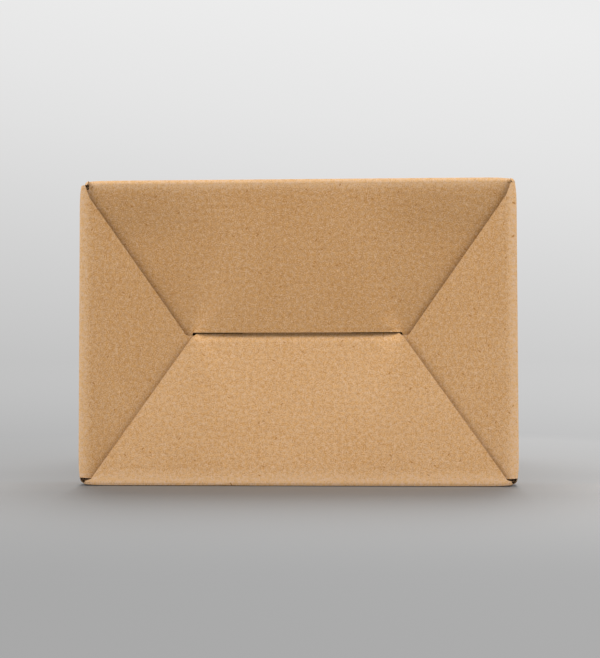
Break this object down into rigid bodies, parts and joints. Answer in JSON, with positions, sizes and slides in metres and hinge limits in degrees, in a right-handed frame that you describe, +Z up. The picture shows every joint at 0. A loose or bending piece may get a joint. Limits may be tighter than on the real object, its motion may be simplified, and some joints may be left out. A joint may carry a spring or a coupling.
{
  "type": "auto lock bottom box",
  "caption": "Kraft corrugated box lying on a side wall, its bottom closed by interlocked flaps with a tucked tongue, its other end by a hinged tuck lid over dust flaps.",
  "frame": {"origin": "middle of the wall that the box lies on, at floor level, under the centre of its bounding box", "axes": "+X across the box, +Y from the interlocked bottom towards the tuck lid, +Z up as the box lies"},
  "size_m": [0.18, 0.14, 0.126],
  "materials": {
    "kraft_board": "matte brown kraft liner with fine fibres, fluted raw edges"
  },
  "bodies": {
    "box": {"box_body": "kraft_board"},
    "lid": {"tuck_lid": "kraft_board"}
  },
  "joints": [
    {"name": "lid_hinge", "type": "hinge", "parent": "box", "child": "lid", "pos_m": [0, 0.0681, 0.126], "axis": [1, 0, 0], "range_deg": [0, 175]}
  ]
}
